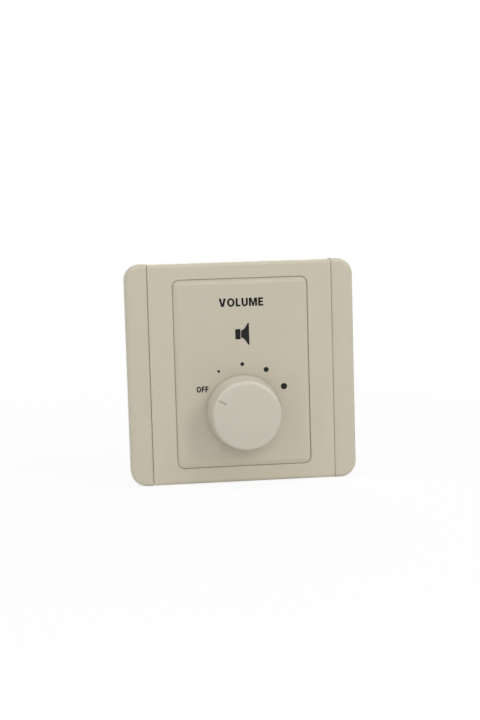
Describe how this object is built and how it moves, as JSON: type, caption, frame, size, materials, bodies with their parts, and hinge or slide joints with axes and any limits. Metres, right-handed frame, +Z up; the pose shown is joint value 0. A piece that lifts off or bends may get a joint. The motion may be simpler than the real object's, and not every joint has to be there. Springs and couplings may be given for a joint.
{
  "type": "speaker volume control",
  "caption": "Square wall-mounted speaker volume control: cream cover frame with side trims, a portrait centre plate and a round knob, with rotary switch, transformer and terminals behind.",
  "frame": {"origin": "the middle of the mounting plate's rear face, in the plane of the wall", "axes": "+X right and +Z up seen from the front, +Y into the wall; the front faces -Y"},
  "size_m": [0.085, 0.0496, 0.0826],
  "materials": {
    "cover_plastic": "satin moulded",
    "trim_plastic": "satin moulded",
    "insert_plastic": "satin moulded",
    "knob_plastic": "satin moulded",
    "plate_steel": "zinc plated",
    "die_cast": "cast",
    "plated_steel": "nickel plated",
    "shaft_metal": "turned",
    "spring_steel": "bare spring steel",
    "black_plastic": "moulded",
    "white_plastic": "moulded",
    "silvered_brass": "stamped",
    "laminate": "pressed laminate",
    "board_laminate": "lacquered",
    "solder": "soldered",
    "terminal_plastic": "moulded",
    "core_steel": "stacked sheets",
    "copper": "enamelled wire",
    "tape": "wrapped",
    "pvc_black": "extruded",
    "pvc_white": "extruded",
    "pvc_yellow": "extruded",
    "pvc_blue": "extruded",
    "pvc_red": "extruded"
  },
  "bodies": {
    "base": {"cover_frame": "cover_plastic", "side_trim_left": "trim_plastic", "side_trim_right": "trim_plastic", "centre_plate": "insert_plastic", "centre_washer": "plated_steel", "centre_nut": "plated_steel", "mounting_plate": "plate_steel", "switch_housing": "die_cast", "switch_lock_washer": "plated_steel", "switch_nut": "plated_steel", "detent_spring": "spring_steel", "stator_wafer": "laminate", "stator_contacts": "silvered_brass", "switch_spacers": "plated_steel", "switch_screws": "plated_steel", "circuit_board": "board_laminate", "solder_joints": "solder", "terminal_block": "terminal_plastic", "terminal_clamps": "silvered_brass", "terminal_screws": "plated_steel", "transformer_core": "core_steel", "transformer_bobbin": "black_plastic", "bobbin_pins": "silvered_brass", "winding": "copper", "winding_tape": "tape", "transformer_strap": "plate_steel", "strap_rivets": "plated_steel", "lead_black": "pvc_black", "lead_white": "pvc_white", "lead_yellow": "pvc_yellow", "lead_blue": "pvc_blue", "lead_red": "pvc_red"},
    "dial": {"knob": "knob_plastic", "knob_clip": "spring_steel", "switch_shaft": "shaft_metal", "shaft_clip": "spring_steel", "detent_wheel": "white_plastic", "rotor": "black_plastic", "rotor_contact": "silvered_brass"}
  },
  "joints": [
    {"name": "knob_turn", "type": "hinge", "parent": "base", "child": "dial", "pos_m": [0, 0, -0.0145], "axis": [0, 1, 0], "range_deg": [0, 120], "deforming": ["detent_spring"]}
  ]
}
